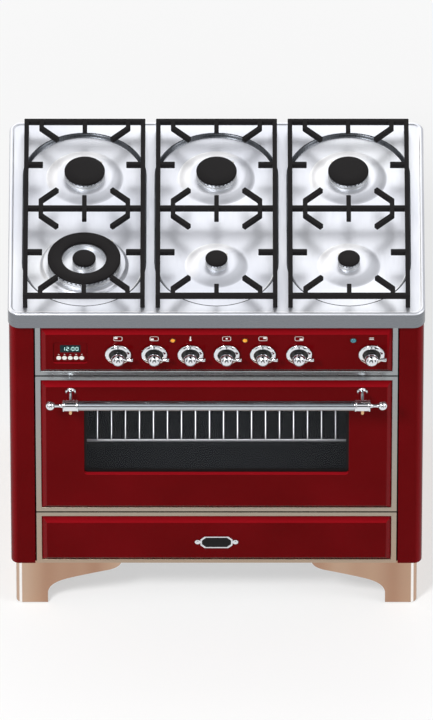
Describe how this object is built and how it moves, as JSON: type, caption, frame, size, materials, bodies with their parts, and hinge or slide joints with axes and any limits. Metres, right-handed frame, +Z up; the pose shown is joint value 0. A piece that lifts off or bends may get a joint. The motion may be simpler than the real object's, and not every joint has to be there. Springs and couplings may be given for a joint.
{
  "type": "range cooker",
  "caption": "Freestanding range cooker with gas hob, cast pan supports, glazed drop-down oven door, lever knobs and a storage drawer on corner skirts.",
  "frame": {"origin": "on the floor, under the centre of the overall box", "axes": "+Z up, the door and knobs face -Y, +X to the right as seen from the front"},
  "size_m": [0.9, 0.6524, 0.938],
  "materials": {
    "hob_steel": "satin pressed stainless",
    "trim_steel": "brushed stainless",
    "red_enamel": "gloss burgundy vitreous enamel",
    "black_enamel": "matt black vitreous enamel",
    "oven_enamel": "dark speckled vitreous enamel",
    "cast_iron": "matt black enamelled cast iron",
    "chrome": "polished chrome",
    "burner_alloy": "cast aluminium",
    "galvanised": "galvanised steel",
    "glass": "tinted toughened glass",
    "wool": "mineral wool",
    "seal": "braided oven seal",
    "black_plastic": "moulded black",
    "white_plastic": "moulded white",
    "jewel": "faceted lamp lens",
    "brass": "machined brass",
    "lamp_glass": "heat resistant glass",
    "ceramic": "glazed ceramic"
  },
  "bodies": {
    "body": {"worktop": "hob_steel", "side_panel_left": "red_enamel", "side_panel_right": "red_enamel", "back_panel": "galvanised", "base_pan": "galvanised", "front_frame": "black_enamel", "plinth_left": "trim_steel", "plinth_right": "trim_steel", "feet": "galvanised", "oven_liner": "oven_enamel", "insulation": "wool", "cavity_gasket": "seal", "rack_guides": "chrome", "fan_cover": "oven_enamel", "fan_motor": "galvanised", "heating_elements": "galvanised", "oven_lamp": "lamp_glass", "control_trim": "trim_steel", "control_panel": "red_enamel", "clock_module": "black_plastic", "indicator_lamps": "jewel", "knob_bezels": "chrome", "gas_taps": "brass", "gas_pipes": "burner_alloy", "burner_bases": "burner_alloy", "burner_heads": "burner_alloy", "burner_caps": "black_enamel", "igniters": "ceramic", "rear_connections": "brass", "drawer_rails": "galvanised", "hinge_arms": "galvanised"},
    "door": {"door_trim": "trim_steel", "door_panel": "red_enamel", "door_liner": "black_enamel", "window_glass": "glass", "inner_glass": "glass", "handle": "chrome"},
    "drawer": {"drawer_trim": "trim_steel", "drawer_front": "red_enamel", "drawer_box": "galvanised", "drawer_runners": "galvanised", "nameplate": "chrome"},
    "fan": {"convection_fan": "galvanised"},
    "rack_upper": {"rack_upper": "chrome"},
    "rack_lower": {"rack_lower": "chrome"},
    "grate_left": {"grate_left": "cast_iron"},
    "grate_centre": {"grate_centre": "cast_iron"},
    "grate_right": {"grate_right": "cast_iron"},
    "clock_button_1": {"clock_button_1": "white_plastic"},
    "clock_button_2": {"clock_button_2": "white_plastic"},
    "clock_button_3": {"clock_button_3": "white_plastic"},
    "clock_button_4": {"clock_button_4": "white_plastic"},
    "clock_button_5": {"clock_button_5": "white_plastic"},
    "knob_1": {"knob_1": "chrome"},
    "knob_2": {"knob_2": "chrome"},
    "knob_3": {"knob_3": "chrome"},
    "knob_4": {"knob_4": "chrome"},
    "knob_5": {"knob_5": "chrome"},
    "knob_6": {"knob_6": "chrome"},
    "knob_7": {"knob_7": "chrome"}
  },
  "joints": [
    {"name": "door_hinge", "type": "hinge", "parent": "body", "child": "door", "pos_m": [0, -0.25375, 0.303], "axis": [1, 0, 0], "range_deg": [0, 90], "stiffness_Nm_per_rad": 8, "springref_deg": -28.65},
    {"name": "drawer_slide", "type": "slide", "parent": "body", "child": "drawer", "axis": [0, -1, 0], "range_m": [0, 0.3]},
    {"name": "fan_spin", "type": "hinge", "parent": "body", "child": "fan", "pos_m": [0, 0.2, 0.585], "axis": [0, -1, 0], "continuous": true},
    {"name": "rack_upper_slide", "type": "slide", "parent": "body", "child": "rack_upper", "axis": [0, -1, 0], "range_m": [0, 0.016]},
    {"name": "rack_lower_slide", "type": "slide", "parent": "body", "child": "rack_lower", "axis": [0, -1, 0], "range_m": [0, 0.016]},
    {"name": "grate_left_lift", "type": "slide", "parent": "body", "child": "grate_left", "axis": [0, 0, 1], "range_m": [0, 0.08]},
    {"name": "grate_centre_lift", "type": "slide", "parent": "body", "child": "grate_centre", "axis": [0, 0, 1], "range_m": [0, 0.08]},
    {"name": "grate_right_lift", "type": "slide", "parent": "body", "child": "grate_right", "axis": [0, 0, 1], "range_m": [0, 0.08]},
    {"name": "clock_button_1_press", "type": "slide", "parent": "body", "child": "clock_button_1", "axis": [0, 1, 0], "range_m": [0, 0.0012], "stiffness_N_per_m": 400, "springref_m": -0.001},
    {"name": "clock_button_2_press", "type": "slide", "parent": "body", "child": "clock_button_2", "axis": [0, 1, 0], "range_m": [0, 0.0012], "stiffness_N_per_m": 400, "springref_m": -0.001},
    {"name": "clock_button_3_press", "type": "slide", "parent": "body", "child": "clock_button_3", "axis": [0, 1, 0], "range_m": [0, 0.0012], "stiffness_N_per_m": 400, "springref_m": -0.001},
    {"name": "clock_button_4_press", "type": "slide", "parent": "body", "child": "clock_button_4", "axis": [0, 1, 0], "range_m": [0, 0.0012], "stiffness_N_per_m": 400, "springref_m": -0.001},
    {"name": "clock_button_5_press", "type": "slide", "parent": "body", "child": "clock_button_5", "axis": [0, 1, 0], "range_m": [0, 0.0012], "stiffness_N_per_m": 400, "springref_m": -0.001},
    {"name": "knob_1_turn", "type": "hinge", "parent": "body", "child": "knob_1", "pos_m": [-0.2127, -0.26775, 0.778], "axis": [0, -1, 0], "range_deg": [0, 210]},
    {"name": "knob_2_turn", "type": "hinge", "parent": "body", "child": "knob_2", "pos_m": [-0.1345, -0.26775, 0.778], "axis": [0, -1, 0], "range_deg": [0, 210]},
    {"name": "knob_3_turn", "type": "hinge", "parent": "body", "child": "knob_3", "pos_m": [-0.0563, -0.26775, 0.778], "axis": [0, 1, 0], "range_deg": [0, 270]},
    {"name": "knob_4_turn", "type": "hinge", "parent": "body", "child": "knob_4", "pos_m": [0.0219, -0.26775, 0.778], "axis": [0, -1, 0], "range_deg": [0, 210]},
    {"name": "knob_5_turn", "type": "hinge", "parent": "body", "child": "knob_5", "pos_m": [0.1001, -0.26775, 0.778], "axis": [0, -1, 0], "range_deg": [0, 210]},
    {"name": "knob_6_turn", "type": "hinge", "parent": "body", "child": "knob_6", "pos_m": [0.1783, -0.26775, 0.778], "axis": [0, -1, 0], "range_deg": [0, 210]},
    {"name": "knob_7_turn", "type": "hinge", "parent": "body", "child": "knob_7", "pos_m": [0.3347, -0.26775, 0.778], "axis": [0, -1, 0], "continuous": true}
  ]
}
